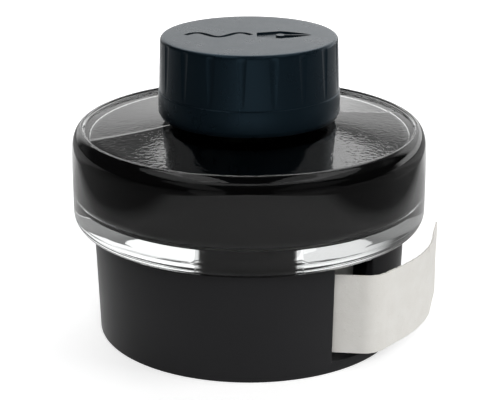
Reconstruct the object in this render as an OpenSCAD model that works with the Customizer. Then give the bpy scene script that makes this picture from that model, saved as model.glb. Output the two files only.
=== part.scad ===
// Round ink bottle of thick clear glass, standing on a moulded plastic base.
// The base holds a roll of blotting paper, whose free end comes out of a slot.
// The origin is the middle of the underside, and +Z is up along the bottle's axis.
// All lengths are in millimetres.

/* [Bottle] */
// Radius of the glass body
bottle_r = 36; // [35:0.5:38]
// Height of the glass body's flat underside above the table
bottle_z = 22.75; // [22:0.25:24]
// Height at which the upright glass wall turns into the shoulder
shoulder_z = 39; // [38:0.2:40]
// Thickness of the glass in the side wall
glass_t = 3.4; // [3:0.2:5]
// Thickness of the glass under the ink
glass_floor_t = 4; // [3.8:0.2:5]
// Radius of the round well that reaches down into the base
well_r = 10.5; // [10:0.5:12]

/* [Neck and thread] */
// Radius of the neck under the thread
neck_r = 13.2; // [12.8:0.1:13.4]
// Radius of the mouth
mouth_r = 10; // [8:0.5:10.5]
// Height of the neck's rim above the table
rim_z = 58.1; // [57.5:0.1:58.5]
// Rise of the thread in one turn
thread_lead = 4.2; // [4:0.1:4.6]
// Turns of thread on the neck and in the cap
thread_turns = 1.25; // [1:0.25:1.5]

/* [Cap] */
// Radius of the plain band around the foot of the cap
cap_r = 18.3; // [18:0.1:19]
// Height of the cap's top face above the table
cap_top_z = 61.4; // [61.2:0.1:62]
// Height of the cap's lower rim above the table
cap_foot_z = 45.3; // [45.2:0.1:46]
// Number of upright grip grooves around the cap
grip_count = 18; // [12:1:24]
// Depth of a grip groove at its upper end
grip_depth = 0.2; // [0.15:0.05:0.4]

/* [Base] */
// Outer radius of the base at its upper rim
base_r = 31.95; // [31.5:0.05:33]
// Outer radius of the base just above its foot
base_foot_r = 31.25; // [30.9:0.05:31.5]
// Thickness of the base's wall
base_wall = 1.5; // [1.2:0.1:1.6]
// Height of the base's floor, which is the sill of the paper slot
floor_z = 2.25; // [2:0.05:2.6]
// Direction of the slot's first side, turning about the axis from +X
slot_from = -59; // [-60:1:-56]
// Direction of the slot's other side
slot_to = -41; // [-44:1:-38]

/* [Blotting paper] */
// Width of the paper strip
paper_w = 16.4; // [16:0.1:16.6]
// Height of the strip's lower edge
paper_z = 3.5; // [3.2:0.1:3.6]
// Thickness of the paper
paper_t = 0.35; // [0.3:0.05:0.4]
// Outer radius of the wound roll
roll_r = 22; // [20:0.5:23]

/* [Hidden] */
$fn = 96;

glass_colour = [0.86, 0.92, 0.92, 0.45];
ink_colour = [0.02, 0.03, 0.04];
cap_colour = [0.10, 0.16, 0.19];
base_colour = [0.06, 0.06, 0.065];
paper_colour = [0.87, 0.86, 0.83];
liner_colour = [0.85, 0.85, 0.82];

gap = 0.15;          // between the base's rim and the glass that stands on it
well_gap = 0.3;      // around the well, inside the hub

// Glass outline
heel_round = 3.3;
bead_w = 2.4;        // the shoulder is a quarter of an ellipse, this wide
bead_h = 4.2;        // and this high
bead_turn = 78;      // how far the shoulder turns before it drops into the crease
crest_round = 0.45;
crest_turn = 145;    // how far the bead's crest turns over
crease_depth = 0.63;
well_z = 2.45;
well_wall = 3.5;
well_round = 2;      // round at the bottom of the well, inside
well_heel = 2.5;     // and outside
rim_round = 1;
mouth_edge = 0.4;    // chamfer inside the rim
crease_in = 3.2;     // the crease runs this far inside the glass's side
neck_fillet = 1.2;
crease_r = bottle_r - crease_in;
neck_foot_r = neck_r + neck_fillet;
bead_top = shoulder_z + bead_h * sin(bead_turn);
bead_end = [bottle_r - bead_w * (1 - cos(bead_turn)), bead_top];
bead_lean = atan(tan(bead_turn) * bead_w / bead_h);    // way the shoulder faces at its end
crest_centre = bead_end - crest_round * [cos(bead_lean), sin(bead_lean)];
crease_z = bead_top - crease_depth;

// The top rises from the crease to the neck as a slightly hollow cone, steeper towards the neck
cone_steps = 8;
crease_rise = 0.062; // rise for each millimetre inwards at the crease
neck_rise = 0.16;    // the same at the neck
function cone_z(r) =
    let (run = crease_r - r)
    crease_z + crease_rise * run + (neck_rise - crease_rise) * run * run / (2 * (crease_r - neck_r));

// Chamber inside the glass
chamber_r = bottle_r - glass_t;
chamber_floor_z = bottle_z + glass_floor_t;
ceiling_t = 2.1;
floor_fall = 1.6;    // fall of the chamber's floor from its side to the well
chamber_round = 6;
ceiling_round = 3;
well_inner_r = well_r - well_wall;
well_floor_z = well_z + well_wall;
ink_z = 44;          // the ink reaches up into the foot of the neck
ink_gap = 0.05;

// Thread form, the same on the neck and in the cap
thread_height = 1.3;
thread_root_w = 2;
thread_crest_w = 0.9;
thread_bury = 0.3;   // how far the root reaches into the wall it grows from
thread_steps = 24;   // straight lengths in one turn
thread_fade = 45;    // degrees over which each end grows out of the wall
neck_thread_z = 50.6;
thread_drop = 1.6;   // the cap's thread lies this far below the neck's, pulling the cap down

// Cap outline
cap_bore_r = neck_r + thread_height + 0.4;
cap_top_r = 17.75;
cap_step_z = 50.65;
cap_step_r = 18.1;
cap_foot_h = 0.9;    // height of the chamfer at the foot
cap_foot_r = 18;
cap_foot_edge = 0.3; // small chamfer under the foot
cap_step_in = 0.08;  // fine ring cut above the step
cap_step_h = 0.15;
cap_top_t = 2;
cap_top_round = 0.8;
liner_t = 1.1;
liner_z = rim_z + 0.05;
liner_r = cap_bore_r - 0.3;
grip_turn = -4.5;    // turn of the first groove from the -Y side
grip_end_z = 51;
grip_top_z = cap_top_z - 1;
grip_half_angle = 60;

// Pen nib and ink line sunk into the cap's top
emblem_depth = 0.4;
nib_x = 1.6;
nib_l = 11;
nib_w = 6.2;
nib_tail_w = 3.5;
nib_belly = 0.45;    // how far the nib's sides bulge towards its tip
nib_shoulder = 0.42; // where along its length the nib is widest
breather_r = 0.9;
slit_w = 0.36;
line_x = 0.4;        // right end of the ink line
line_w = 1;
line_l = 13;
wave_h = 1.7;

// Base
foot_round = 0.35;
hub_in_r = well_r + well_gap;
hub_wall = 1.2;
hub_play = 0.3;      // between the hub and the roll that turns on it
base_edge = 0.2;     // chamfer on the rim
hub_top_z = 21.5;
seat_h = paper_z - floor_z - 0.1;
seat_r = roll_r - 1.5;
foot_ring_w = 4;
foot_sink = 0.6;

// Free end of the paper: straight off the roll, a quick bend, a slow curl, a kink and a flat end
leader_turn = -6.8;  // way the strip leaves the roll, turning from +X
leader_gap = 0.1;    // between the strip and the roll it lies along
leader_back = 40.5;  // straight length from its hidden end to the bend
leader_bend_x = 22;
bend_r = 5;
bend_turn = 57;
run_l = 6;
curl_r = 37;
curl_turn = 22;
kink_r = 12;
kink_turn = 6.5;
end_l = 12.2;

// Points of an arc about a centre, from one direction to another
function arc(centre, r, a0, a1, n = 8) =
    [for (i = [0:n]) centre + r * [cos(a0 + (a1 - a0) * i / n), sin(a0 + (a1 - a0) * i / n)]];

// Points that follow a bend: start point, heading, radius and turn to the left
function bend(start, heading, r, turn, n) =
    [for (i = [1:n]) let (a = turn * i / n)
        start + r * [sin(heading + a) - sin(heading), cos(heading) - cos(heading + a)]];

// Trapezoid thread on a helix. A crest outside the root makes a neck's thread, one inside it a cap's.
module thread(wall_r, height, z) {
    way = height > 0 ? 1 : -1;
    root = wall_r - way * thread_bury;
    count = round(thread_steps * thread_turns);
    step = 360 / thread_steps;
    function grown(a) = min(1, a / thread_fade, (count * step - a) / thread_fade);
    function crest(a) = root + way * 0.02 + (height + way * (thread_bury - 0.02)) * max(0, grown(a));
    ring = [for (i = [0:count]) let (a = i * step, zc = z + thread_lead * a / 360)
        each [for (p = [[root, -thread_root_w / 2], [crest(a), -thread_crest_w / 2],
                        [crest(a), thread_crest_w / 2], [root, thread_root_w / 2]])
            [p[0] * cos(a), p[0] * sin(a), zc + p[1]]]];
    // Four sides of each length, as two triangles each, seen from outside
    sides = [for (i = [0:count - 1], k = [0:3]) let (a = 4 * i + k, b = 4 * i + (k + 1) % 4)
        each [[a, a + 4, b], [b, a + 4, b + 4]]];
    last = 4 * count;
    ends = [[0, 1, 2], [0, 2, 3], [last, last + 2, last + 1], [last, last + 3, last + 2]];
    polyhedron(points = ring, faces = [for (f = concat(sides, ends)) way > 0 ? [f[0], f[2], f[1]] : f]);
}

module glass_outline() {
    polygon(concat(
        [[0, well_z]],
        arc([well_r - well_heel, well_z + well_heel], well_heel, -90, 0),
        arc([well_r + 1, bottle_z - 1], 1, 180, 90, 4),
        arc([bottle_r - heel_round, bottle_z + heel_round], heel_round, -90, 0, 10),
        [for (i = [0:12]) let (a = bead_turn * i / 12)
            [bottle_r - bead_w * (1 - cos(a)), shoulder_z + bead_h * sin(a)]],
        arc(crest_centre, crest_round, bead_lean, crest_turn, 5),
        [[crease_r + 0.12, crease_z + 0.07], [crease_r, crease_z]],
        [for (i = [1:cone_steps])
            let (r = crease_r - (crease_r - neck_foot_r) * i / cone_steps) [r, cone_z(r)]],
        [[neck_r + 0.35, cone_z(neck_r) + 0.35]],
        [[neck_r, cone_z(neck_r) + neck_fillet]],
        arc([neck_r - rim_round, rim_z - rim_round], rim_round, 0, 90, 6),
        [[0, rim_z]]
    ));
}

// The hollow in the glass, up to the mouth. The inset draws the same outline that much smaller.
module chamber_outline(inset = 0) {
    side_r = chamber_r - inset;
    inner_r = well_inner_r - inset;
    floor_top = chamber_floor_z + inset;
    well_floor = well_floor_z + inset;
    open_r = mouth_r - inset;
    low_r = chamber_round - inset;
    high_r = ceiling_round - inset;
    function under_cone(r) = cone_z(r) - ceiling_t - inset;
    polygon(concat(
        [[0, well_floor]],
        arc([inner_r - well_round, well_floor + well_round], well_round, -90, 0, 6),
        [[inner_r, floor_top - floor_fall - 1], [inner_r + 1, floor_top - floor_fall]],
        arc([side_r - low_r, floor_top + low_r], low_r, -90, 0),
        arc([side_r - high_r, under_cone(side_r) - high_r], high_r, 0, 84),
        [[mouth_r + 2, under_cone(mouth_r + 2)], [open_r, under_cone(mouth_r) + neck_fillet]],
        [[open_r, rim_z - mouth_edge], [open_r + mouth_edge, rim_z]],
        [[open_r + mouth_edge, rim_z + 1], [0, rim_z + 1]]
    ));
}

module glass_bottle() {
    color(glass_colour)
        union() {
            difference() {
                rotate_extrude() glass_outline();
                rotate_extrude() chamber_outline();
            }
            thread(neck_r, thread_height, neck_thread_z);
        }
}

module ink() {
    color(ink_colour)
        rotate_extrude()
            intersection() {
                chamber_outline(ink_gap);
                square([chamber_r, ink_z]);
            }
}

// A wave of even width, as a pen draws it
module ink_line() {
    half = line_w / 2;
    count = 24;
    function at(i) = [line_l * i / count, wave_h * sin(540 * i / count)];
    upper = [for (i = [0:count]) at(i) + [0, half]];
    lower = [for (i = [count:-1:0]) at(i) - [0, half]];
    polygon(concat(upper, lower));
}

// Outline of a pen nib that points along +X, with its slit and breather hole left standing
module nib() {
    wide = nib_l * nib_shoulder;
    upper = [for (i = [0:8]) let (t = i / 8)
        [wide + (nib_l - wide) * t, nib_w / 2 * (1 - t) * (1 + nib_belly * t)]];
    lower = [for (i = [8:-1:0]) [upper[i][0], -upper[i][1]]];
    difference() {
        polygon(concat([[0, nib_tail_w / 2]], upper, lower, [[0, -nib_tail_w / 2]]));
        translate([wide, 0]) circle(r = breather_r);
        translate([wide, -slit_w / 2]) square([nib_l, slit_w]);
    }
}

module emblem() {
    translate([0, 0, cap_top_z - emblem_depth])
        linear_extrude(height = 2) {
            translate([nib_x, 0]) nib();
            translate([line_x - line_l, 0]) ink_line();
        }
}

// One V-shaped groove, deepest at the top and running out to a point at its foot
module grip_groove() {
    height = grip_top_z - grip_end_z;
    lean = atan((cap_step_r - cap_top_r) / (cap_top_z - cap_step_z));
    root_lean = lean + atan(grip_depth / height);
    reach = 3;
    half = reach * tan(grip_half_angle);
    foot_r = cap_step_r - tan(lean) * (grip_end_z - cap_step_z);
    translate([foot_r, 0, grip_end_z])
        rotate([0, -root_lean, 0])
            linear_extrude(height = height)
                polygon([[0, 0], [reach, half], [reach, -half]]);
}

module cap_shell() {
    color(cap_colour)
        union() {
            difference() {
                rotate_extrude()
                    polygon(concat(
                        [[0, cap_foot_z], [cap_foot_r - cap_foot_edge, cap_foot_z]],
                        [[cap_foot_r, cap_foot_z + cap_foot_edge]],
                        [[cap_r, cap_foot_z + cap_foot_h], [cap_r, cap_step_z - cap_step_h]],
                        [[cap_r - cap_step_in, cap_step_z], [cap_step_r, cap_step_z + 0.1]],
                        arc([cap_top_r - cap_top_round, cap_top_z - cap_top_round], cap_top_round, 0, 90, 6),
                        [[0, cap_top_z]]
                    ));
                translate([0, 0, cap_foot_z - 1])
                    cylinder(r = cap_bore_r, h = cap_top_z - cap_top_t - cap_foot_z + 1);
                for (i = [0:grip_count - 1])
                    rotate([0, 0, -90 + grip_turn + i * 360 / grip_count]) grip_groove();
                emblem();
            }
            translate([0, 0, -thread_drop])
                rotate([0, 0, -90])
                    thread(cap_bore_r, -thread_height, neck_thread_z - thread_lead / 4);
        }
}

module cap_liner() {
    color(liner_colour)
        translate([0, 0, liner_z]) cylinder(r = liner_r, h = liner_t);
}

// Piece of pie that opens the slot through the wall, from the sill up
module slot_cut() {
    translate([0, 0, floor_z])
        rotate([0, 0, slot_from])
            rotate_extrude(angle = slot_to - slot_from)
                translate([base_foot_r - base_wall - 3, 0]) square([8, bottle_z]);
}

module base_tray() {
    top_z = bottle_z - gap;
    color(base_colour)
        difference() {
            union() {
                rotate_extrude()
                    polygon(concat(
                        [[0, 0]],
                        arc([base_foot_r - foot_round, foot_round], foot_round, -90, 0, 5),
                        [[base_r, top_z - base_edge], [base_r - base_edge, top_z]],
                        [[base_r - base_wall, top_z]],
                        [[base_foot_r - base_wall, floor_z], [0, floor_z]]
                    ));
                cylinder(r = hub_in_r + hub_wall, h = hub_top_z);
                cylinder(r = seat_r, h = floor_z + seat_h);
            }
            translate([0, 0, floor_z]) cylinder(r = hub_in_r, h = bottle_z);
            // Shallow sink under the floor, between the foot ring and the middle
            translate([0, 0, -1])
                difference() {
                    cylinder(r = base_foot_r - foot_ring_w, h = 1 + foot_sink);
                    cylinder(r = hub_in_r, h = 2 + foot_sink);
                }
            slot_cut();
        }
}

module blotting_roll() {
    color(paper_colour)
        translate([0, 0, paper_z])
            difference() {
                cylinder(r = roll_r, h = paper_w);
                translate([0, 0, -1]) cylinder(r = hub_in_r + hub_wall + hub_play, h = paper_w + 2);
            }
}

// Middle line of the strip seen from above
function leader_line() =
    let (reach = roll_r + paper_t / 2 + leader_gap,
         start = [leader_bend_x, (leader_bend_x * sin(leader_turn) - reach) / cos(leader_turn)],
         tail = start - leader_back * [cos(leader_turn), sin(leader_turn)],
         first = bend(start, leader_turn, bend_r, bend_turn, 8),
         turned = leader_turn + bend_turn,
         run = first[7] + run_l * [cos(turned), sin(turned)],
         curl = bend(run, turned, curl_r, curl_turn, 8),
         kink = bend(curl[7], turned + curl_turn, kink_r, kink_turn, 3),
         way = turned + curl_turn + kink_turn,
         tip = kink[2] + end_l * [cos(way), sin(way)])
    concat([tail, start], first, [run], curl, kink, [tip]);

// Points of the line moved sideways by half the paper's thickness
function beside(line, d) =
    [for (i = [0:len(line) - 1])
        let (a = line[max(0, i - 1)], b = line[min(len(line) - 1, i + 1)], v = (b - a) / norm(b - a))
        line[i] + d * [-v[1], v[0]]];

module paper_leader() {
    line = leader_line();
    inner = beside(line, paper_t / 2);
    color(paper_colour)
        translate([0, 0, paper_z])
            linear_extrude(height = paper_w)
                polygon(concat(beside(line, -paper_t / 2), [for (i = [len(inner) - 1:-1:0]) inner[i]]));
}

base_tray();
blotting_roll();
paper_leader();
ink();
glass_bottle();
cap_liner();
cap_shell();
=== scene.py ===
"""Ink bottle on a base that holds a roll of blotting paper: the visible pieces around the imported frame."""

import math
import random

import bpy
from mathutils import Euler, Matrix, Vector, noise


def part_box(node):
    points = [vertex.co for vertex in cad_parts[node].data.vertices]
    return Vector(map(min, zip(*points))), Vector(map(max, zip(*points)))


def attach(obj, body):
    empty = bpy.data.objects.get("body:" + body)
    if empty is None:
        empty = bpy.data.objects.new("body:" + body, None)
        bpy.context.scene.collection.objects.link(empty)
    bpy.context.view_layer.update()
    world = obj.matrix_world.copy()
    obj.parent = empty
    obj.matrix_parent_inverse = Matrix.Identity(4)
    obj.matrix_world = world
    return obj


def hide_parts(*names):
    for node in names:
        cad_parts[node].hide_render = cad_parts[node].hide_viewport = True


MM = 0.001
TAU = math.tau

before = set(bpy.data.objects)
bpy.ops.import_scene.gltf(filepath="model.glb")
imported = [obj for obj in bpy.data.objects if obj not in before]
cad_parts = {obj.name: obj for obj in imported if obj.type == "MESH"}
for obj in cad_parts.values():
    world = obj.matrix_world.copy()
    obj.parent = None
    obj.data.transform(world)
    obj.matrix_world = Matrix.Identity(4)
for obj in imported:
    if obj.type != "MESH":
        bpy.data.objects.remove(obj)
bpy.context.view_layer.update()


# --- Sizes, in millimetres and degrees. What the frame knows comes from the frame. ---

def box_mm(node):
    low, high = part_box(node)
    return low / MM, high / MM


BOTTLE_LOW, BOTTLE_HIGH = box_mm("glass_bottle")
CAP_LOW, CAP_HIGH = box_mm("cap_shell")
BASE_HIGH = box_mm("base_tray")[1]
ROLL_LOW, ROLL_HIGH = box_mm("blotting_roll")
LEADER_LOW, LEADER_HIGH = box_mm("paper_leader")

# Lengths nearer to each other than this count as the same.
NEAR = 0.01

# Bottle, from the foot of the well up
BOTTLE_R = BOTTLE_HIGH.x
WELL_Z = BOTTLE_LOW.z
RIM_Z = BOTTLE_HIGH.z
WELL_R = 10.5
WELL_ROUND = 2.5
WELL_FILLET = 1
UNDERSIDE_Z = BASE_HIGH.z + 0.15
HEEL_ROUND = 3.3

# The shoulder is a part of an ellipse, SHOULDER_W wide and SHOULDER_H high, up to SHOULDER_TURN round it.
SHOULDER_Z = 39
SHOULDER_W = 2.4
SHOULDER_H = 4.2
SHOULDER_TURN = 78

# It ends in a narrow crest, which turns over to CREST_TURN and falls into the crease at the cone's edge.
CREST_ROUND = 0.45
CREST_TURN = 145
CREASE_DROP = 0.45
CREASE_ROUND = 0.2

# The cone's slope grows from CREASE_RISE at the crease to NECK_RISE at the neck.
CREASE_RISE = 0.062
NECK_RISE = 0.16
CONE_STEP = 0.6
NECK_R = 13.2
NECK_FILLET = 1.2
NECK_STEP = 0.22
RIM_ROUND = 1
MOUTH_R = 10
MOUTH_ROUND = 0.4

# The mould's parting line crosses the bottle's top. Along it the front half stands SEAM_HEIGHT proud,
# which fades over SEAM_FRONT_REACH. The back half sinks by SEAM_STEP over SEAM_BACK_REACH.
SEAM_TURN = 18
SEAM_HEIGHT = 0.14
SEAM_HALF_TURN = 1.8
SEAM_STEP = 0.05
SEAM_FRONT_REACH = 5
SEAM_BACK_REACH = 3
SEAM_INSET = 0.3
SEAM_FADE = 0.5

# Ink chamber, with the well in its floor
CHAMBER_R = 32.6
CHAMBER_FLOOR_Z = 27.3
CHAMBER_ROUND = 4
FLOOR_FALL = 1.6
WELL_IN_R = 7
WELL_IN_ROUND = 2
WELL_IN_FILLET = 1.2
WELL_FLOOR_Z = 5.95
CEILING_Z = 40.4
CEILING_ROUND = 3
CEILING_TURN = 83
CEILING_END_OUT = 2
CEILING_END_RISE = 2.55
NECK_FOOT_RISE = 4

# The ink reaches INK_WET into the glass, and its level sinks from the glass inwards.
INK_LEVEL = 44
INK_WET = 0.04
MENISCUS = ((0, 0), (0.4, 0.15), (1.4, 0.3))
MENISCUS_DEPTH = 0.35

# Thread
THREAD_LEAD = 4.2
THREAD_TURNS = 1.25
THREAD_HEIGHT = 1.3
THREAD_HALF_W = 1.0
THREAD_FLANK = 1.9
THREAD_FADE = 45
NECK_THREAD_Z = 50.6
CAP_THREAD_DROP = 1.6

# Cap
CAP_R = CAP_HIGH.x
CAP_TOP_Z = CAP_HIGH.z
CAP_FOOT_Z = CAP_LOW.z
CAP_FOOT_R = 18
CAP_EDGE_ROUND = 0.3
CAP_BAND_Z = 46.2
CAP_STEP_Z = 50.65
CAP_STEP_R = 18.1
CAP_STEP_ROUND = 0.2
CAP_CUT_ROUND = 0.12
CAP_CUT_RISE = 0.05
CAP_SIDE_STEP = 0.35
CAP_TOP_R = 17.75
CAP_TOP_ROUND = 0.8
CAP_TOP_T = 2
CAP_FACE_R = 15.6
CAP_BORE_R = 14.9
CAP_BORE_ROUND = 0.4
CAP_BORE_START = 0.6
CAP_BORE_STEP = 0.3

# Grip grooves: they widen and deepen from GRIP_END_Z up to GRIP_TOP_Z, and end under the cap's top edge.
GRIP_COUNT = 18
GRIP_DEPTH = 0.2
GRIP_HALF_W = 1.0
GRIP_TAPER = 0.45
GRIP_HOLLOW = 1.2
GRIP_TURN = -94.5
GRIP_END_Z = 51
GRIP_TOP_Z = 60.3
GRIP_TOP_GAP = 0.35
GRIP_TOP_FADE = 0.5

# Emblem: a pen nib, and the wave that it has drawn
EMBLEM_DEPTH = 0.4
EMBLEM_DRAFT = 0.35
NIB_X = 1.6
NIB_L = 11.0
NIB_WIDEST_X = 4.6
NIB_HALF_W = 3.1
NIB_TAIL = 0.56
NIB_BELLY = 0.045
BREATHER_X = 6.2
BREATHER_R = 0.9
SLIT_END_X = 14
SLIT_HALF_W = 0.18
WAVE_X = -12.6
WAVE_L = 13.0
WAVE_H = 1.7
WAVE_HALF_W = 0.5
WAVE_BENDS = 3

# Base
BASE_RIM_R = BASE_HIGH.x
BASE_RIM_Z = BASE_HIGH.z
BASE_FOOT_R = 31.25
BASE_WALL = 1.5
BASE_FLOOR_Z = 2.25
BASE_FOOT_ROUND = 0.35
BASE_RIM_ROUND = 0.25
BASE_EDGE_ROUND = 0.12
SLOT_FROM = -59
SLOT_TO = -41
SLOT_IN = 3
SLOT_OUT = 4
HUB_IN_R = 10.8
HUB_WALL = 1.2
HUB_TOP_Z = 21.5
SEAT_R = 20.5
SEAT_TOP_Z = 3.4
FOOT_RING_R = 27.25
FOOT_SINK = 0.6

# Paper
PAPER_T = 0.35

# Roll: it starts ROLL_START from the hub, and each turn stands a little higher or lower than the last.
ROLL_SEED = 7
ROLL_START = 0.35
ROLL_EDGE = 0.2
ROLL_GAP = 0.005
ROLL_THINNER = 0.01
ROLL_WOBBLE = 0.015
ROLL_TOP_DROP = 0.09
ROLL_TOP_UNEVEN = 0.08
ROLL_FOOT_RISE = 0.02
ROLL_FOOT_UNEVEN = 0.015

# Free end: straight out of the roll, a quick bend, a short run, a slow curl, a closer curl and the tip
LEADER_BEND_X = 22
LEADER_TURN = -6.8
LEADER_BACK = 40.5
LEADER_GAP = 0.1
BEND_R = 5
BEND_TURN = 57
RUN_L = 6
CURL_R = 37
CURL_TURN = 22
TIP_CURL_R = 12
TIP_CURL_TURN = 6.5
TIP_L = 11.9

# Its edges: lengths are measured along the strip from its hidden end.
EDGE_FROM = 41
EDGE_FADE = 8
EDGE_TOP_CUT = 0.21
EDGE_FOOT_CUT = 0.14
EDGE_STEPS = ((50.2, 0.12), (55.9, 0.16))
NOTCH_AT = 63.4
NOTCH_HALF_W = 0.16
NOTCH_DEPTH = 1.3


# --- Mesh helpers ---

def clamp(value):
    return min(1.0, max(0.0, value))


def arc(r, z, radius, start, end, steps=8):
    """Points of an arc about (r, z), angles in degrees from the outward direction."""
    turns = [math.radians(start + (end - start) * i / steps) for i in range(steps + 1)]
    return [(r + radius * math.cos(a), z + radius * math.sin(a)) for a in turns]


def moved(point, degrees, length):
    """The point at a length from another one, in a direction from the outward one."""
    turn = math.radians(degrees)
    return point[0] + length * math.cos(turn), point[1] + length * math.sin(turn)


def split(points, step):
    """The outline with its long straight stretches cut into shorter ones."""
    made = [points[0]]
    for (r0, z0), (r1, z1) in zip(points, points[1:]):
        count = max(1, round(math.hypot(r1 - r0, z1 - z0) / step))
        made += [(r0 + (r1 - r0) * i / count, z0 + (z1 - z0) * i / count) for i in range(1, count + 1)]
    return made


def new_object(name, verts, faces, sharp=35):
    """A smooth-shaded mesh object whose points are given in millimetres."""
    mesh = bpy.data.meshes.new(name)
    mesh.from_pydata([(x * MM, y * MM, z * MM) for x, y, z in verts], [], faces)
    mesh.validate()
    mesh.shade_smooth()
    mesh.set_sharp_from_angle(angle=math.radians(sharp))
    made = bpy.data.objects.new(name, mesh)
    bpy.context.scene.collection.objects.link(made)
    return made


def even_turns(segments):
    return [TAU * i / segments for i in range(segments)]


def lathe(name, outline, turns, place=None, sharp=35):
    """A body of revolution. place(angle, r, z) moves a point, which carries threads and grooves."""
    count = len(turns)
    verts, rings, faces = [], [], []
    for r, z in outline:
        first = len(verts)
        if r < 1e-6:
            verts.append((0, 0, z))
            rings.append([first] * count)
            continue
        for a in turns:
            pr, pz = place(a, r, z) if place else (r, z)
            verts.append((pr * math.cos(a), pr * math.sin(a), pz))
        rings.append(list(range(first, first + count)))
    for low, high in zip(rings, rings[1:]):
        for k in range(count):
            n = (k + 1) % count
            face = [low[k], low[n], high[n], high[k]]
            faces.append(list(dict.fromkeys(face)))
    return new_object(name, verts, faces, sharp)


def prism(name, outline, low, high, draft=0.0):
    """An upright prism whose sides lean outwards by draft towards its top."""
    count = len(outline)
    top = []
    for i, (x, y) in enumerate(outline):
        (ax, ay), (bx, by) = outline[i - 1], outline[(i + 1) % count]
        tx, ty = bx - ax, by - ay
        size = math.hypot(tx, ty) or 1
        top.append((x + ty / size * draft, y - tx / size * draft))
    verts = [(x, y, low) for x, y in outline] + [(x, y, high) for x, y in top]
    faces = [[(i + 1) % count, i, i + count, (i + 1) % count + count][::-1] for i in range(count)]
    faces += [list(range(count))[::-1], list(range(count, 2 * count))]
    return new_object(name, verts, faces)


def use(target, kind, **settings):
    """Adds a modifier and applies it at once."""
    modifier = target.modifiers.new(kind.title(), kind)
    for key, value in settings.items():
        setattr(modifier, key, value)
    bpy.context.view_layer.objects.active = target
    bpy.ops.object.modifier_apply(modifier=modifier.name)


def cut(target, *cutters):
    for cutter in cutters:
        use(target, "BOOLEAN", object=cutter, operation="DIFFERENCE", solver="EXACT")
        bpy.data.objects.remove(cutter)


def finish_piece(piece, body, node, slot, *materials):
    for material in materials:
        piece.data.materials.append(material)
    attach(piece, body)
    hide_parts(node)
    return piece


# --- Material helpers. Lengths in materials are in metres. ---

def add(tree, kind, inputs=None, **settings):
    """A shader node. An input is given a value, or the output socket that feeds it."""
    made = tree.nodes.new("ShaderNode" + kind)
    for key, value in settings.items():
        setattr(made, key, value)
    for key, value in (inputs or {}).items():
        if isinstance(value, bpy.types.NodeSocket):
            tree.links.new(value, made.inputs[key])
        else:
            made.inputs[key].default_value = value
    return made


def new_material(name, **values):
    """A material with one Principled shader, its constant inputs set on the shader's own sockets."""
    material = bpy.data.materials.new(name)
    material.use_nodes = True
    shader = material.node_tree.nodes["Principled BSDF"]
    for key, value in values.items():
        shader.inputs[key.replace("_", " ")].default_value = value
    return material, material.node_tree, shader


def place_of(tree):
    return add(tree, "TexCoord").outputs["Object"]


def noise_of(tree, scale, detail=2.0, rough=0.5, vector=None):
    inputs = {"Vector": vector or place_of(tree), "Scale": scale, "Detail": detail, "Roughness": rough}
    return add(tree, "TexNoise", inputs).outputs["Fac"]


def ramp(tree, value, *stops):
    """A colour ramp with (position, colour) stops."""
    made = add(tree, "ValToRGB", {"Fac": value})
    elements = made.color_ramp.elements
    while len(elements) < len(stops):
        elements.new(0.5)
    for element, (position, colour) in zip(elements, stops):
        element.position = position
        element.color = (*colour, 1)
    return made.outputs["Color"]


def mix(tree, share, a, b, blend_type="MIX"):
    """A mix of two colours, which are the Mix node's inputs 6 and 7."""
    inputs = {0: share, 6: a, 7: b}
    return add(tree, "Mix", inputs, data_type="RGBA", blend_type=blend_type).outputs[2]


def maths(tree, operation, a, b=0.0):
    return add(tree, "Math", {0: a, 1: b}, operation=operation).outputs[0]


def total(tree, first, *others):
    for other in others:
        first = maths(tree, "ADD", first, other)
    return first


def product(tree, first, *others):
    for other in others:
        first = maths(tree, "MULTIPLY", first, other)
    return first


def fit(tree, value, low, high, out_low=0.0, out_high=1.0, smooth=False):
    """Turns the range from low to high into the range from out_low to out_high, and stays within it."""
    inputs = {"Value": value, "From Min": low, "From Max": high, "To Min": out_low, "To Max": out_high}
    kind = "SMOOTHSTEP" if smooth else "LINEAR"
    return add(tree, "MapRange", inputs, interpolation_type=kind).outputs[0]


def bump(tree, height, distance, strength=1.0, after=None):
    inputs = {"Height": height, "Distance": distance, "Strength": strength}
    if after:
        inputs["Normal"] = after
    return add(tree, "Bump", inputs).outputs["Normal"]


# --- Materials ---

def glass_material():
    """Thick clear glass, faintly green, with the fine ripple of a pressed surface on its cone."""
    material, tree, shader = new_material(
        "clear_glass", Base_Color=(0.975, 0.992, 0.988, 1), Transmission_Weight=1, IOR=1.52, Roughness=0)
    place = place_of(tree)
    axes = add(tree, "SeparateXYZ", {0: place}).outputs
    level = add(tree, "CombineXYZ", {"X": axes["X"], "Y": axes["Y"]}).outputs[0]
    from_axis = add(tree, "VectorMath", {0: level}, operation="LENGTH").outputs["Value"]
    inside_crest = fit(tree, from_axis, 0.033, 0.0323)
    above_wall = fit(tree, axes["Z"], 0.042, 0.0424)
    pebbles = noise_of(tree, scale=1100, detail=1.5, vector=place)
    waves = noise_of(tree, scale=160, detail=1, vector=place)
    wavy = bump(tree, waves, distance=0.00001)
    ripple = product(tree, pebbles, inside_crest, above_wall)
    tree.links.new(bump(tree, ripple, distance=0.00003, after=wavy), shader.inputs["Normal"])
    return material


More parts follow.
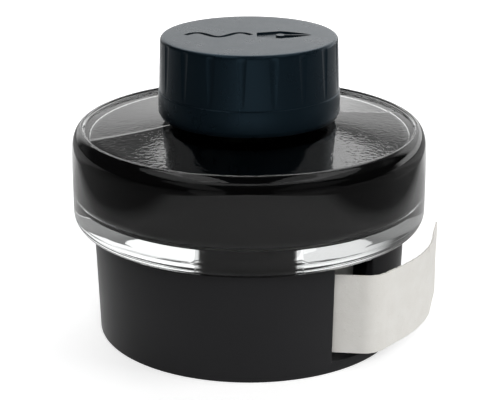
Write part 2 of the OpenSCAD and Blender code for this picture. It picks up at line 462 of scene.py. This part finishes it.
def ink_material(name, ior):
    """Black ink. Against the glass its relative IOR is below 1, so at a flat angle it mirrors everything."""
    material, tree, shader = new_material(name, IOR=ior, Roughness=0.02)
    cloud = noise_of(tree, scale=60, detail=3)
    colour = ramp(tree, cloud, (0.3, (0.0006, 0.0006, 0.0009)), (0.7, (0.0010, 0.0010, 0.0014)))
    tree.links.new(colour, shader.inputs["Base Color"])
    if ior < 1:
        mirror = add(tree, "BsdfAnisotropic", {"Roughness": 0.02}).outputs[0]
        share = add(tree, "Fresnel", {"IOR": ior}).outputs[0]
        mixed = add(tree, "MixShader", {0: share, 1: shader.outputs[0], 2: mirror}).outputs[0]
        tree.links.new(mixed, tree.nodes["Material Output"].inputs["Surface"])
    return material


def cap_material():
    """Dark blue-green moulded plastic with a fine satin grain."""
    material, tree, shader = new_material("cap_plastic", IOR=1.49, Specular_Tint=(0.42, 0.74, 1.0, 1))
    place = place_of(tree)
    grain = noise_of(tree, scale=5200, rough=0.6, vector=place)
    cloud = noise_of(tree, scale=130, detail=3, rough=0.6, vector=place)
    colour = ramp(tree, cloud, (0.3, (0.0036, 0.0072, 0.0105)), (0.7, (0.0044, 0.0086, 0.0125)))
    tree.links.new(colour, shader.inputs["Base Color"])
    tree.links.new(fit(tree, cloud, 0.3, 0.7, 0.26, 0.31), shader.inputs["Roughness"])
    tree.links.new(bump(tree, grain, distance=0.00002, strength=0.8), shader.inputs["Normal"])
    return material


def base_material():
    """Matt black moulded plastic with an even spark-eroded texture and a slightly cloudy gloss."""
    material, tree, shader = new_material("base_plastic", IOR=1.49, Sheen_Weight=0.3, Sheen_Roughness=0.35)
    place = place_of(tree)
    grain = noise_of(tree, scale=4200, detail=3, rough=0.6, vector=place)
    cloud = noise_of(tree, scale=90, detail=4, rough=0.6, vector=place)
    colour = ramp(tree, cloud, (0.3, (0.0090, 0.0090, 0.0104)), (0.7, (0.0118, 0.0118, 0.0134)))
    tree.links.new(colour, shader.inputs["Base Color"])
    tree.links.new(fit(tree, cloud, 0.3, 0.7, 0.41, 0.48), shader.inputs["Roughness"])
    tree.links.new(bump(tree, grain, distance=0.00003, strength=0.8), shader.inputs["Normal"])
    return material


def paper_material():
    """Unsized blotting paper: soft, cloudy and slightly fibrous, with a few darker specks."""
    material, tree, shader = new_material(
        "blotting_paper", Roughness=0.95, IOR=1.4, Specular_IOR_Level=0.25,
        Sheen_Weight=0.15, Sheen_Roughness=0.6)
    place = place_of(tree)
    stretched = add(tree, "Mapping", {"Vector": place, "Scale": (1, 1, 2.4)}).outputs[0]
    fibres = noise_of(tree, scale=1900, detail=4, rough=0.65, vector=stretched)
    cloud = noise_of(tree, scale=260, detail=4, rough=0.6, vector=place)
    specks = noise_of(tree, scale=2600, detail=1, vector=place)
    pulp = ramp(tree, cloud, (0.3, (0.84, 0.82, 0.775)), (0.7, (0.885, 0.87, 0.83)))
    dark = ramp(tree, specks, (0.0, (1, 1, 1)), (0.74, (1, 1, 1)), (0.8, (0.82, 0.80, 0.76)))
    tree.links.new(mix(tree, 1.0, pulp, dark, blend_type="MULTIPLY"), shader.inputs["Base Color"])
    soft = bump(tree, cloud, distance=0.0002, strength=0.5)
    tree.links.new(bump(tree, fibres, distance=0.00006, strength=0.7, after=soft), shader.inputs["Normal"])
    return material


def liner_material():
    """White foam with fine cells."""
    material, tree, shader = new_material("liner", Roughness=0.8)
    cells = add(tree, "TexVoronoi", {"Vector": place_of(tree), "Scale": 2500}).outputs["Distance"]
    colour = ramp(tree, cells, (0.0, (0.70, 0.69, 0.66)), (0.6, (0.80, 0.79, 0.76)))
    tree.links.new(colour, shader.inputs["Base Color"])
    tree.links.new(bump(tree, cells, distance=0.00005, strength=0.6), shader.inputs["Normal"])
    return material


# --- Bottle and ink ---

def helix_height(angle, z, start_z):
    """How far a thread stands out at a point, from 0 to 1. The thread starts at +X, at start_z."""
    best = 0.0
    for turn in range(math.ceil(THREAD_TURNS) + 1):
        degrees = math.degrees(angle) % 360 + 360 * turn
        if degrees > 360 * THREAD_TURNS:
            break
        centre = start_z + THREAD_LEAD * degrees / 360
        fade = min(1.0, degrees / THREAD_FADE, (360 * THREAD_TURNS - degrees) / THREAD_FADE)
        across = abs(z - centre) / THREAD_HALF_W
        best = max(best, fade * clamp((1 - across) * THREAD_FLANK))
    return best


def seam_height(angle, r):
    """How far the parting line raises or lowers a point of the bottle's top."""
    across = math.sin(angle - math.radians(SEAM_TURN))
    part = clamp(0.5 + 0.5 * across / math.radians(SEAM_HALF_TURN))
    front = math.exp(min(0.0, r * across) / SEAM_FRONT_REACH)
    back = math.exp(-max(0.0, r * across) / SEAM_BACK_REACH)
    return SEAM_HEIGHT * (1 - part * part * (3 - 2 * part)) * front - SEAM_STEP * (1 - back)


def shoulder_outline():
    """From the upright wall over the shoulder and its crest, down into the crease at the cone's edge."""
    steps = 24
    turns = [math.radians(SHOULDER_TURN * i / steps) for i in range(steps + 1)]
    centre_r = BOTTLE_R - SHOULDER_W
    shoulder = [(centre_r + SHOULDER_W * math.cos(a), SHOULDER_Z + SHOULDER_H * math.sin(a)) for a in turns]
    lean = math.degrees(math.atan(math.tan(turns[-1]) * SHOULDER_W / SHOULDER_H))
    crest = arc(*moved(shoulder[-1], lean, -CREST_ROUND), CREST_ROUND, lean, CREST_TURN)
    foot = moved(crest[-1], CREST_TURN + 90, CREASE_DROP)
    cone_turn = -90 - math.degrees(math.atan(CREASE_RISE))
    centre = moved(foot, CREST_TURN, CREASE_ROUND)
    return shoulder + crest[1:] + arc(*centre, CREASE_ROUND, CREST_TURN - 180, cone_turn, steps=6)


def chamber_outline(grow):
    """The hollow in the glass from its floor's middle up to the neck's foot, made larger by grow."""
    r = CHAMBER_R + grow
    floor = CHAMBER_FLOOR_Z - grow
    well_floor = WELL_FLOOR_Z - grow
    well = WELL_IN_R + grow
    fillet_z = floor - FLOOR_FALL - WELL_IN_FILLET
    points = [(0, well_floor)]
    points += arc(well - WELL_IN_ROUND, well_floor + WELL_IN_ROUND, WELL_IN_ROUND, -90, 0)
    points += arc(well + WELL_IN_FILLET, fillet_z, WELL_IN_FILLET, 180, 95, steps=5)
    points += arc(r - CHAMBER_ROUND, floor + CHAMBER_ROUND, CHAMBER_ROUND, -90, 0, steps=10)
    points += arc(r - CEILING_ROUND, CEILING_Z - CEILING_ROUND, CEILING_ROUND, 0, CEILING_TURN)
    points.append((MOUTH_R + CEILING_END_OUT, CEILING_Z + CEILING_END_RISE))
    points.append((MOUTH_R, CEILING_Z + NECK_FOOT_RISE))
    return points


def make_bottle():
    outline = [(0, WELL_Z), (WELL_R - WELL_ROUND, WELL_Z)]
    outline += arc(WELL_R - WELL_ROUND, WELL_Z + WELL_ROUND, WELL_ROUND, -90, 0)[1:]
    outline += arc(WELL_R + WELL_FILLET, UNDERSIDE_Z - WELL_FILLET, WELL_FILLET, 180, 90, steps=5)
    outline += arc(BOTTLE_R - HEEL_ROUND, UNDERSIDE_Z + HEEL_ROUND, HEEL_ROUND, -90, 0, steps=14)
    outline += shoulder_outline()
    crease_r, crease_z = outline[-1]

    def cone(r):
        run = crease_r - r
        return crease_z + run * (CREASE_RISE + (NECK_RISE - CREASE_RISE) / 2 * run / (crease_r - NECK_R))

    foot_r = NECK_R + NECK_FILLET
    foot_z = cone(foot_r) + NECK_FILLET
    neck_turn = 270 - math.degrees(math.atan(NECK_RISE))
    outline += [(r, cone(r)) for r, _ in split([(crease_r, 0), (foot_r, 0)], CONE_STEP)[1:]]
    outline += arc(foot_r, foot_z, NECK_FILLET, neck_turn, 180, steps=6)[1:]
    outline += split([(NECK_R, foot_z), (NECK_R, RIM_Z - RIM_ROUND)], NECK_STEP)[1:]
    outline += arc(NECK_R - RIM_ROUND, RIM_Z - RIM_ROUND, RIM_ROUND, 0, 90, steps=6)[1:]
    outline += arc(MOUTH_R + MOUTH_ROUND, RIM_Z - MOUTH_ROUND, MOUTH_ROUND, 90, 180, steps=4)
    # The neck's foot comes twice, here and in the chamber, which leaves a sharp edge there.
    outline += [(MOUTH_R, CEILING_Z + NECK_FOOT_RISE)]
    outline += chamber_outline(0)[::-1]
    seam_r = crease_r - SEAM_INSET

    def place(angle, r, z):
        if abs(r - NECK_R) < NEAR and z > NECK_THREAD_Z - 2 * THREAD_HALF_W:
            return r + THREAD_HEIGHT * helix_height(angle, z, NECK_THREAD_Z), z
        if foot_r - NEAR < r < seam_r and z > crease_z:
            fade = min(1, (seam_r - r) / SEAM_FADE, (r - foot_r + NEAR) / SEAM_FADE)
            return r, z + seam_height(angle, r) * fade
        return r, z

    seams = [math.radians(SEAM_TURN), math.radians(SEAM_TURN + 180)]
    close = [seam + math.radians(SEAM_HALF_TURN) * k / 4 for seam in seams for k in range(-6, 7)]
    bottle = lathe("bottle_glass", outline, sorted(set(even_turns(288) + close)), place, sharp=60)
    return finish_piece(bottle, "bottle", "glass_bottle", "clear_glass", glass_material())


def make_ink():
    outline = [(r, z) for r, z in chamber_outline(INK_WET) if z < INK_LEVEL]
    outline += [(MOUTH_R + INK_WET - inwards, INK_LEVEL - down) for inwards, down in MENISCUS]
    outline += [(0, INK_LEVEL - MENISCUS_DEPTH)]
    ink = lathe("ink_body", outline, even_turns(160))
    finish_piece(ink, "bottle", "ink", "ink", ink_material("ink_side", 0.88), ink_material("ink_top", 1.34))
    lowest = (INK_LEVEL - MENISCUS_DEPTH) * MM
    for face in ink.data.polygons:
        if face.normal.z > 0.5 and face.center.z > lowest:
            face.material_index = 1
    return ink


# --- Cap ---

def groove_depth(angle, r, z):
    """Depth of the upright grip grooves at a point on the cap's side."""
    pitch = TAU / GRIP_COUNT
    offset = (angle - math.radians(GRIP_TURN) + pitch / 2) % pitch - pitch / 2
    rise = clamp((z - GRIP_END_Z) / (GRIP_TOP_Z - GRIP_END_Z))
    across = abs(offset) * r / (GRIP_HALF_W * (GRIP_TAPER + (1 - GRIP_TAPER) * rise))
    if across >= 1:
        return 0.0
    end = clamp((CAP_TOP_Z - GRIP_TOP_GAP - z) / GRIP_TOP_FADE)
    return GRIP_DEPTH * math.sqrt(rise) * end * (1 - across * across) ** GRIP_HOLLOW


def nib_outline():
    """A pen nib that points along +X."""
    steps = 10
    upper = []
    for i in range(steps):
        x = NIB_WIDEST_X + (NIB_L - NIB_WIDEST_X) * i / steps
        upper.append((x, NIB_HALF_W * (1 - i / steps) * (1 + NIB_BELLY * i)))
    lower = [(x, -y) for x, y in reversed(upper)]
    tail = NIB_HALF_W * NIB_TAIL
    return [(0, -tail)] + (upper + [(NIB_L, 0)] + lower)[::-1] + [(0, tail)]


def wave_outline():
    """A wave of even width, as a pen draws it."""
    steps = 36
    turn = WAVE_BENDS * math.pi
    line = [(WAVE_L * i / steps, WAVE_H * math.sin(turn * i / steps)) for i in range(steps + 1)]
    near_side, far_side = [], []
    for i, (x, y) in enumerate(line):
        (ax, ay), (bx, by) = line[max(0, i - 1)], line[min(steps, i + 1)]
        size = math.hypot(bx - ax, by - ay)
        nx, ny = -(by - ay) / size * WAVE_HALF_W, (bx - ax) / size * WAVE_HALF_W
        near_side.append((x - nx, y - ny))
        far_side.append((x + nx, y + ny))
    return near_side + far_side[::-1]


def cap_outline(bore_top):
    """From the middle of the cap's ceiling down the bore, round the foot and up the side to its top."""
    side_top = CAP_TOP_Z - CAP_TOP_ROUND
    edge = CAP_EDGE_ROUND
    points = [(0, bore_top)]
    points += arc(CAP_BORE_R - CAP_BORE_ROUND, bore_top - CAP_BORE_ROUND, CAP_BORE_ROUND, 90, 0, steps=4)
    bore = [(CAP_BORE_R, bore_top - CAP_BORE_START), (CAP_BORE_R, CAP_FOOT_Z + edge)]
    points += split(bore, CAP_BORE_STEP)
    points += [(CAP_BORE_R + edge, CAP_FOOT_Z)]
    points += arc(CAP_FOOT_R - edge, CAP_FOOT_Z + edge, edge, -90, 0, steps=4)
    points += arc(CAP_R - edge, CAP_BAND_Z, edge, -20, 0, steps=3)
    points += arc(CAP_R - CAP_STEP_ROUND, CAP_STEP_Z - edge, CAP_STEP_ROUND, 0, 75, steps=4)
    points += arc(CAP_STEP_R + CAP_CUT_ROUND, CAP_STEP_Z + CAP_CUT_RISE, CAP_CUT_ROUND, 260, 180, steps=3)
    points += split([(CAP_STEP_R, CAP_STEP_Z + CAP_STEP_ROUND), (CAP_TOP_R, side_top)], CAP_SIDE_STEP)
    points += arc(CAP_TOP_R - CAP_TOP_ROUND, side_top, CAP_TOP_ROUND, 0, 90)[1:]
    return points + [(CAP_FACE_R, CAP_TOP_Z), (0, CAP_TOP_Z)]


def cap_turns():
    """Turns round the cap, close together at each grip groove and further apart between the grooves."""
    pitch = TAU / GRIP_COUNT
    half_steps, rest_steps = 10, 12
    fine = GRIP_HALF_W / CAP_TOP_R / (half_steps - 1)
    offsets = [fine * i for i in range(-half_steps, half_steps + 1)]
    rest = pitch - 2 * half_steps * fine
    offsets += [offsets[-1] + rest * i / rest_steps for i in range(1, rest_steps)]
    start = math.radians(GRIP_TURN)
    return [start + pitch * k + offset for k in range(GRIP_COUNT) for offset in offsets]


def cut_emblem(cap):
    """Sinks the nib, with its breather hole and slit left standing, and its wave into the cap's top."""
    floor_z, over_z = CAP_TOP_Z - EMBLEM_DEPTH, CAP_TOP_Z + 1
    nib = prism("nib_cutter", [(x + NIB_X, y) for x, y in nib_outline()], floor_z, over_z, EMBLEM_DRAFT)
    breather = [(BREATHER_X + BREATHER_R * math.cos(a), BREATHER_R * math.sin(a)) for a in even_turns(32)]
    slit = [(BREATHER_X, -SLIT_HALF_W), (SLIT_END_X, -SLIT_HALF_W)]
    slit += [(x, -y) for x, y in slit[::-1]]
    for name, outline in (("breather_cutter", breather), ("slit_cutter", slit)):
        cut(nib, prism(name, outline, floor_z - 1, over_z + 1))
    wave = prism("wave_cutter", [(x + WAVE_X, y) for x, y in wave_outline()], floor_z, over_z, EMBLEM_DRAFT)
    cut(cap, nib, wave)


def make_cap():
    bore_top = CAP_TOP_Z - CAP_TOP_T
    thread_z = NECK_THREAD_Z - CAP_THREAD_DROP - THREAD_LEAD / 4
    thread_low, thread_high = CAP_FOOT_Z + 0.5, bore_top - 0.7
    side_r = CAP_TOP_R - 0.6

    def place(angle, r, z):
        if r > side_r and z > GRIP_END_Z:
            return r - groove_depth(angle, r, z), z
        if abs(r - CAP_BORE_R) < NEAR and thread_low < z < thread_high:
            return r - THREAD_HEIGHT * helix_height(angle + TAU / 4, z, thread_z), z
        return r, z

    cap = lathe("cap", cap_outline(bore_top), cap_turns(), place)
    cut_emblem(cap)
    cap.data.set_sharp_from_angle(angle=math.radians(40))
    return finish_piece(cap, "cap", "cap_shell", "cap_plastic", cap_material())


# --- Base ---

def make_base():
    wall_foot_r = BASE_FOOT_R - BASE_WALL
    hub_r = HUB_IN_R + HUB_WALL
    foot, rim = BASE_FOOT_ROUND, BASE_RIM_ROUND
    outline = [(0, 0), (HUB_IN_R, 0), (HUB_IN_R, FOOT_SINK), (FOOT_RING_R, FOOT_SINK), (FOOT_RING_R, 0)]
    outline += arc(BASE_FOOT_R - foot, foot, foot, -90, 0, steps=5)
    outline += arc(BASE_RIM_R - rim, BASE_RIM_Z - rim, rim, 0, 90, steps=4)
    outline += [(BASE_RIM_R - BASE_WALL, BASE_RIM_Z), (wall_foot_r, BASE_FLOOR_Z), (SEAT_R, BASE_FLOOR_Z)]
    outline += [(SEAT_R, SEAT_TOP_Z), (hub_r, SEAT_TOP_Z), (hub_r, HUB_TOP_Z), (HUB_IN_R, HUB_TOP_Z)]
    outline += [(HUB_IN_R, BASE_FLOOR_Z), (0, BASE_FLOOR_Z)]
    base = lathe("base", outline, even_turns(288))
    near, far = wall_foot_r - SLOT_IN, BASE_RIM_R + SLOT_OUT
    slot = arc(0, 0, near, SLOT_TO, SLOT_FROM, steps=12) + arc(0, 0, far, SLOT_FROM, SLOT_TO, steps=12)
    cut(base, prism("slot_cutter", slot, BASE_FLOOR_Z, BASE_RIM_Z + 5))
    use(base, "BEVEL", width=BASE_EDGE_ROUND * MM, segments=2,
        limit_method="ANGLE", angle_limit=math.radians(40))
    base.data.shade_smooth()
    base.data.set_sharp_from_angle(angle=math.radians(50))
    return finish_piece(base, "base", "base_tray", "base_plastic", base_material())


# --- Paper ---

def strip(name, sections, sharp=50):
    """A closed strip of paper from its cross-sections, each a closed ring of the same number of points."""
    count = len(sections[0])
    verts = [p for section in sections for p in section]
    faces = []
    for i in range(len(sections) - 1):
        for k in range(count):
            a, b = i * count + k, i * count + (k + 1) % count
            faces.append([a, b, b + count, a + count])
    last = (len(sections) - 1) * count
    faces += [list(range(count))[::-1], list(range(last, last + count))]
    return new_object(name, verts, faces, sharp)


def make_roll():
    """The wound paper: one strip, turn upon turn, with its edges not quite level."""
    rng = random.Random(ROLL_SEED)
    inner, outer = HUB_IN_R + HUB_WALL + ROLL_START, ROLL_HIGH.x - ROLL_EDGE
    pitch = PAPER_T + ROLL_GAP
    half = PAPER_T / 2 - ROLL_THINNER
    turns = int((outer - inner) / pitch)
    steps = 90
    levels = [rng.uniform(-1, 1) for _ in range(turns + 2)]
    sections = []
    for i in range(turns * steps + 1):
        t = i / steps
        k = int(t)
        angle = TAU * t
        r = inner + pitch * t + ROLL_WOBBLE * math.sin(5 * angle + t)
        uneven = levels[k] + (levels[k + 1] - levels[k]) * (t - k)
        top = ROLL_HIGH.z - ROLL_TOP_DROP + ROLL_TOP_UNEVEN * uneven
        low = ROLL_LOW.z + ROLL_FOOT_RISE + ROLL_FOOT_UNEVEN * uneven
        ring = ((-half, low), (half, low), (half, top), (-half, top))
        sections.append([((r + d) * math.cos(angle), (r + d) * math.sin(angle), z) for d, z in ring])
    roll = strip("blotting_roll_wound", sections)
    return finish_piece(roll, "roll", "blotting_roll", "blotting_paper", paper_material())


def leader_line():
    """Middle line of the free end, from its hidden end in the roll to its tip."""
    def go(heading, length, turn=0.0, step=0.15):
        """Goes on for a length, turning evenly to the left, and gives the direction at its end."""
        count = max(1, round(length / step))
        for k in range(count):
            ahead = heading + turn * (k + 0.5) / count
            x, y = points[-1]
            points.append((x + math.cos(ahead) * length / count, y + math.sin(ahead) * length / count))
        return heading + turn

    def bend(heading, radius, degrees, step=0.15):
        return go(heading, radius * math.radians(degrees), math.radians(degrees), step)

    heading = math.radians(LEADER_TURN)
    c, s = math.cos(heading), math.sin(heading)
    bend_y = (LEADER_BEND_X * s - (ROLL_HIGH.x + PAPER_T / 2 + LEADER_GAP)) / c
    points = [(LEADER_BEND_X - LEADER_BACK * c, bend_y - LEADER_BACK * s)]
    go(heading, LEADER_BACK, step=0.5)
    heading = bend(heading, BEND_R, BEND_TURN)
    go(heading, RUN_L)
    heading = bend(heading, CURL_R, CURL_TURN)
    heading = bend(heading, TIP_CURL_R, TIP_CURL_TURN, step=0.1)
    go(heading, TIP_L)
    return points


def wander(x, y=0.0, z=0.0):
    """Smooth noise between about -1 and 1, the same in every run."""
    return noise.noise(Vector((x, y, z)))


def leader_edges(along):
    """Heights of the strip's lower and upper edge, at a length along it."""
    free = clamp((along - EDGE_FROM) / EDGE_FADE)
    ragged = 0.20 * wander(along * 0.9, 3.1) + 0.12 * wander(along * 3.1, 8.4)
    steps = sum(depth for start, depth in EDGE_STEPS if along > start)
    notch = NOTCH_DEPTH * math.exp(-(((along - NOTCH_AT) / NOTCH_HALF_W) ** 4))
    low = LEADER_LOW.z + free * (EDGE_FOOT_CUT + 0.05 * wander(along * 1.3, 1.7, 4))
    return low, LEADER_HIGH.z - 0.02 - free * (EDGE_TOP_CUT + ragged) - steps - notch


def make_leader():
    """The free end: dented a little, with cut edges that aren't quite even and a torn tip."""
    line = leader_line()
    last = len(line) - 1
    rows = 48
    sections = []
    along = 0.0
    for i, (x, y) in enumerate(line):
        (ax, ay), (bx, by) = line[max(0, i - 1)], line[min(last, i + 1)]
        size = math.hypot(bx - ax, by - ay)
        tx, ty = (bx - ax) / size, (by - ay) / size
        if i:
            along += math.hypot(x - line[i - 1][0], y - line[i - 1][1])
        free = clamp((along - EDGE_FROM) / EDGE_FADE)
        low, top = leader_edges(along)
        ring = []
        for side, order in ((-1, range(rows + 1)), (1, range(rows, -1, -1))):
            for k in order:
                up = k / rows
                sway = 0.05 * math.sin(along * 0.33 + up * 2.2) * (up - 0.2)
                out = PAPER_T / 2 * side + free * (sway + 0.10 * wander(along * 0.28, up * 3.1, 2.0))
                torn = 0.24 * wander(up * 8, 5.5) + 0.16 * wander(up * 31, 7.5) - 0.05 if i == last else 0.0
                ring.append((x - ty * out + tx * torn, y + tx * out + ty * torn, low + (top - low) * up))
        sections.append(ring)
    leader = strip("paper_leader_strip", sections, sharp=60)
    return finish_piece(leader, "leader", "paper_leader", "blotting_paper", paper_material())


def dress_liner():
    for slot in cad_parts["cap_liner"].material_slots:
        slot.material = liner_material()


# --- Studio, in metres ---

def make_camera():
    """The camera stands in front, a little above the object, and looks at the bottle's middle."""
    look = Vector((0.00017, 0, 0.02656))
    distance = 0.3173
    elevation = math.radians(19.27)
    data = bpy.data.cameras.new("camera")
    data.lens = 110.62
    data.sensor_width = 36
    data.clip_start = 0.01
    camera = bpy.data.objects.new("camera", data)
    camera.location = look + distance * Vector((0, -math.cos(elevation), math.sin(elevation)))
    camera.rotation_euler = Euler((math.pi / 2 - elevation, 0, 0))
    bpy.context.scene.collection.objects.link(camera)
    bpy.context.scene.camera = camera


def floor_material():
    """A white table to the camera. To other rays it is grey, with painted shade on both sides and painted
    light towards the back, and far behind it glows with painted light.
    """
    material, tree, shader = new_material("floor", Roughness=0.9, Specular_IOR_Level=0.1)
    place = place_of(tree)
    axes = add(tree, "SeparateXYZ", {0: place}).outputs
    seen = add(tree, "LightPath").outputs["Is Camera Ray"]
    # Painted shade and light: to reflected rays the floor is darker on both sides of the object and lighter
    # towards the back.
    painted_side_shade = fit(tree, maths(tree, "ABSOLUTE", axes["X"]), 0.1, 0.118, 1.0, 0.22)
    painted_rear_light = fit(tree, axes["Y"], -0.06, 0.02, 0.52, 0.74)
    painted_far_glow = fit(tree, axes["Y"], 0.085, 0.13)
    cloud = noise_of(tree, scale=3, vector=place)
    pale = ramp(tree, cloud, (0.3, (0.80, 0.80, 0.80)), (0.7, (0.82, 0.82, 0.82)))
    grey = product(tree, painted_side_shade, painted_rear_light)
    table = add(tree, "CombineColor", {0: grey, 1: grey, 2: grey}).outputs[0]
    tree.links.new(mix(tree, seen, table, pale), shader.inputs["Base Color"])
    # Emission: evenly white to the camera, plus painted light far behind the object, which no lamp gives.
    white_and_painted_glow = maths(tree, "MAXIMUM", product(tree, seen, 0.55), product(tree, painted_far_glow, painted_side_shade, 0.8))
    tree.links.new(white_and_painted_glow, shader.inputs["Emission Strength"])
    shader.inputs["Emission Color"].default_value = (1, 1, 1, 1)
    return material


def make_floor():
    half = 3.0
    corners = [(-half, -half, 0), (half, -half, 0), (half, half, 0), (-half, half, 0)]
    mesh = bpy.data.meshes.new("floor")
    mesh.from_pydata(corners, [], [(0, 1, 2, 3)])
    mesh.materials.append(floor_material())
    floor = bpy.data.objects.new("floor", mesh)
    bpy.context.scene.collection.objects.link(floor)


def area_light(name, place, aim, width, height, radiance, glossy=True):
    """A rectangular soft light of a given radiance that faces a point."""
    data = bpy.data.lights.new(name, "AREA")
    data.shape = "RECTANGLE"
    data.size = width
    data.size_y = height
    data.energy = radiance * math.pi * width * height
    lamp = bpy.data.objects.new(name, data)
    lamp.location = place
    lamp.rotation_euler = (Vector(aim) - Vector(place)).to_track_quat("-Z", "Y").to_euler()
    lamp.visible_camera = False
    lamp.visible_glossy = glossy
    lamp.visible_transmission = glossy
    bpy.context.scene.collection.objects.link(lamp)
    return lamp


def polar(azimuth, elevation, distance):
    """A point seen from the object, azimuth 0 straight behind it and 90 to its right."""
    a, e = math.radians(azimuth), math.radians(elevation)
    return Vector((math.sin(a) * math.cos(e), math.cos(a) * math.cos(e), math.sin(e))) * distance


def overhead_strip(name, x, y, width, radiance):
    """A long soft light that hangs level and faces down."""
    area_light(name, (x, y, 0.8), (x, y, 0), width=width, height=0.9, radiance=radiance)


def fill_light(name, place, aim, radiance):
    """A square light that lights the object and shows in none of its reflections."""
    area_light(name, place, aim, width=0.34, height=0.34, radiance=radiance, glossy=False)


def make_lights():
    aim = Vector((0, 0, 0.043))
    softbox = area_light("softbox", aim + polar(0, 49.4, 0.6), aim, width=0.6, height=0.55, radiance=1.75)
    softbox.rotation_euler.rotate_axis("Z", math.radians(11))
    overhead_strip("strip_left", x=-0.35, y=-0.30, width=0.306, radiance=0.95)
    overhead_strip("strip_right", x=0.48, y=-0.33, width=0.54, radiance=0.5)
    fill_light("key", polar(102, 28, 0.6), aim, radiance=4.0)
    fill_light("front", polar(178, 32, 0.7), aim, radiance=5.6)


def make_world():
    """A dark studio with a white backdrop low behind the object, wider and brighter on the right."""
    world = bpy.data.worlds.new("studio")
    bpy.context.scene.world = world
    world.use_nodes = True
    tree = world.node_tree
    tree.nodes.clear()
    direction = add(tree, "SeparateXYZ", {0: add(tree, "TexCoord").outputs["Generated"]})
    x, y, z = (direction.outputs[k] for k in "XYZ")
    length = maths(tree, "SQRT", total(tree, product(tree, x, x), product(tree, y, y)))
    length = maths(tree, "MAXIMUM", length, 0.001)
    behind = maths(tree, "DIVIDE", y, length)
    side = maths(tree, "DIVIDE", x, length)
    # How far round the backdrop goes: further on the right, and further still where it is low there.
    wider_right = fit(tree, side, -0.1, 0.1, 0.0, 0.26)
    wider_low = product(tree, fit(tree, z, 0.22, 0.15), fit(tree, side, -0.4, 0.3, 0.0, 0.26))
    wide = fit(tree, total(tree, behind, wider_right, wider_low), 0.74, 0.92, smooth=True)
    # How high it goes: it slopes down on both sides.
    right_slope = fit(tree, side, 0.3, 0.5, 0.0, 0.2)
    left_slope = fit(tree, side, -0.2, -0.33, 0.0, 0.12)
    height = maths(tree, "SUBTRACT", maths(tree, "SUBTRACT", z, right_slope), left_slope)
    low = fit(tree, height, 0.245, 0.385, 1.0, 0.15, smooth=True)
    brighter = product(tree, fit(tree, x, -0.02, 0.08), fit(tree, z, 0.2, 0.15), 0.4)
    backdrop = product(tree, wide, low, total(tree, 1.0, brighter))
    reflected = total(tree, backdrop, 0.03)
    seen = add(tree, "LightPath").outputs["Is Camera Ray"]
    level = fit(tree, seen, 0.0, 1.0, reflected, 0.95)
    background = add(tree, "Background", {"Color": (1, 1, 1, 1), "Strength": level}).outputs[0]
    tree.links.new(background, add(tree, "OutputWorld").inputs["Surface"])


make_camera()
make_floor()
make_lights()
make_world()
make_base()
make_roll()
make_leader()
make_bottle()
make_ink()
make_cap()
dress_liner()
bpy.context.scene.view_settings.view_transform = "Standard"
bpy.context.scene.cycles.use_denoising = True
